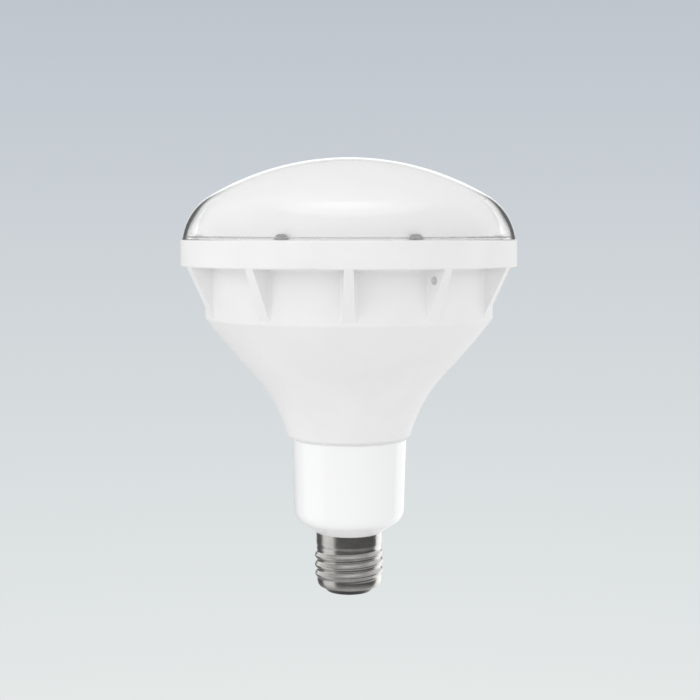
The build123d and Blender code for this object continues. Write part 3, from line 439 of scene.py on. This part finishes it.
def floor_material():
    """Pale and shaded near the lamp, and in the backdrop's colours further out."""
    material = bpy.data.materials.new("floor")
    material.use_nodes = True
    nodes = Nodes(material.node_tree)
    shader = material.node_tree.nodes["Principled BSDF"]
    shader.inputs["Base Color"].default_value = grey(0.72)
    shader.inputs["Roughness"].default_value = 0.9
    place = nodes.add("ShaderNodeTexCoord").outputs["Object"]
    away = nodes.add("ShaderNodeVectorMath", {0: place}, operation="LENGTH").outputs["Value"]
    drop = CAMERA_HEIGHT - FLOOR_Z
    run = nodes.math("ADD", away, CAMERA_DISTANCE)
    sight = nodes.math("SQRT", nodes.math("MULTIPLY_ADD", run, run, drop * drop))
    height = nodes.math("SUBTRACT", 0.5, nodes.math("DIVIDE", 0.5 * drop, sight))
    colour = nodes.ramp(height, BACKDROP)
    glow = nodes.add("ShaderNodeEmission", {"Color": colour, "Strength": 1.0}).outputs["Emission"]
    paths = nodes.add("ShaderNodeLightPath").outputs
    seen = nodes.math("MAXIMUM", paths["Is Camera Ray"], paths["Is Transmission Ray"])
    far = nodes.add("ShaderNodeMapRange", {"Value": away, "From Min": FLOOR_NEAR, "From Max": FLOOR_FAR})
    glowing = nodes.math("MULTIPLY", seen, far.outputs["Result"])
    mix = nodes.add("ShaderNodeMixShader", {0: glowing, 1: shader.outputs["BSDF"], 2: glow})
    output = material.node_tree.nodes["Material Output"]
    material.node_tree.links.new(mix.outputs["Shader"], output.inputs["Surface"])
    return material


def floor():
    """Pale floor well below the lamp."""
    bpy.ops.mesh.primitive_circle_add(vertices=96, radius=FLOOR_RADIUS, fill_type="NGON",
                                      location=(0, 0, FLOOR_Z))
    disc = bpy.context.object
    disc.name = "floor"
    disc.data.materials.append(floor_material())
    disc.visible_glossy = False
    disc.visible_diffuse = False


def screw_shell():
    """Rolled screw shell with its rounded thread, in place of the plain solid."""
    turned_piece("rolled_shell", shell_profile, SHELL_TURNS, "nickel_plate", "screw_shell", tube=True)


def camera():
    """Camera at the photograph's viewing angle."""
    data = bpy.data.cameras.new("camera")
    data.lens = LENS
    data.sensor_width = SENSOR
    data.clip_start = 0.01
    obj = bpy.data.objects.new("camera", data)
    bpy.context.scene.collection.objects.link(obj)
    obj.location = (CAMERA_SIDE, -CAMERA_DISTANCE, CAMERA_HEIGHT)
    obj.rotation_euler = (math.radians(90 - CAMERA_TILT), 0, 0)
    bpy.context.scene.camera = obj


# Backdrop by the height of the direction: pale grey below, blue grey above
BACKDROP = (
    (0.33, display(230, 234, 233)),
    (0.585, display(190, 197, 205)),
)

# Studio above the horizon by azimuth from behind: a bright wall between two dark flags, then soft white
UPPER_STUDIO = (
    (0.0, 1.35),
    (0.055, 1.3),
    (0.07, 0.5),
    (0.082, 0.17),
    (0.1, 0.14),
    (0.15, 0.14),
    (0.21, 1.2),
    (0.35, 1.0),
    (0.6, 0.45),
    (1.0, 0.4),
)

# Studio below it, by azimuth from behind, through the left, the front and the right
LOWER_STUDIO = (
    (0.0, 0.9),
    (0.06, 0.3),
    (0.1, 0.1),
    (0.19, 0.12),
    (0.215, 0.85),
    (0.335, 0.85),
    (0.37, 0.1),
    (0.80, 0.08),
    (0.825, 1.4),
    (0.93, 1.4),
    (1.0, 0.9),
)


# Soft light on the lamp by the height of the direction
SOFT_LIGHT = (
    (0.0, 0.97),
    (0.5, 0.93),
    (0.62, 1.07),
    (0.74, 0.95),
    (1.0, 0.7),
)

# Lamps: name, place, size and power
LAMPS = (
    ("top", (-0.15, -0.25, 1.0), (0.9, 0.7), 1.2),
    ("left", (-0.9, -0.7, 0.5), (0.6, 0.9), 2.25),
    ("right", (1.0, -0.5, 0.5), (0.5, 0.9), 0.95),
)


def lower_studio(nodes, parts, height):
    """What is reflected from below the horizon."""
    turn = nodes.math("ARCTAN2", parts.outputs["X"], nodes.math("MULTIPLY", parts.outputs["Y"], -1.0))
    share = nodes.math("MULTIPLY_ADD", turn, 0.5 / math.pi, 0.5)
    steep = nodes.ramp(height, ((0.1, 0.0), (0.33, 1.0)))
    return nodes.mix(steep, grey(0.42), nodes.ramp(share, LOWER_STUDIO))


def upper_studio(nodes, parts, height):
    """What is reflected and refracted from above it: walls and flags, and a ceiling dimmer in front."""
    turn = nodes.math("ARCTAN2", parts.outputs["X"], parts.outputs["Y"])
    aside = nodes.math("MULTIPLY", nodes.math("ABSOLUTE", turn), 1.0 / math.pi)
    high = nodes.ramp(height, ((0.6, 0.0), (0.66, 1.0)), "EASE")
    front = nodes.ramp(height, ((0.66, 0.4), (0.9, 0.42), (0.96, 1.0), (1.0, 1.5)), "EASE")
    ceiling = nodes.mix(nodes.ramp(aside, ((0.3, 0.0), (0.6, 1.0))), grey(0.85), front)
    return nodes.mix(high, nodes.ramp(aside, UPPER_STUDIO), ceiling)


def world():
    """Soft surroundings: pale for the camera, a studio with dark and bright sides for reflections."""
    made = bpy.data.worlds.new("world")
    bpy.context.scene.world = made
    made.use_nodes = True
    nodes = Nodes(made.node_tree)
    background = made.node_tree.nodes["Background"]
    direction = nodes.add("ShaderNodeTexCoord").outputs["Generated"]
    parts = nodes.add("ShaderNodeSeparateXYZ", {"Vector": direction})
    height = nodes.math("MULTIPLY_ADD", parts.outputs["Z"], 0.5, 0.5)
    pale = nodes.ramp(height, BACKDROP)
    through = upper_studio(nodes, parts, height)
    upward = nodes.ramp(height, ((0.49, 0.0), (0.51, 1.0)))
    studio = nodes.mix(upward, lower_studio(nodes, parts, height), through)
    paths = nodes.add("ShaderNodeLightPath").outputs
    light = nodes.mix(paths["Is Glossy Ray"], nodes.ramp(height, SOFT_LIGHT), studio)
    light = nodes.mix(paths["Is Transmission Ray"], light, through)
    light = nodes.mix(paths["Is Camera Ray"], light, pale)
    made.node_tree.links.new(light, background.inputs["Color"])


def area_light(name, place, size, power):
    """Soft rectangular light that faces the lamp's middle."""
    data = bpy.data.lights.new(name, "AREA")
    data.shape = "RECTANGLE"
    data.size, data.size_y = size
    data.energy = power
    obj = bpy.data.objects.new(name, data)
    bpy.context.scene.collection.objects.link(obj)
    obj.location = place
    aim = Vector((0, 0, 0.09)) - Vector(place)
    obj.rotation_euler = aim.to_track_quat("-Z", "Y").to_euler()
    obj.visible_glossy = False
    obj.visible_transmission = False


world()
for lamp in LAMPS:
    area_light(*lamp)

dress_nodes()
screw_shell()
domes()
floor()
camera()
bpy.context.scene.view_settings.view_transform = "Standard"
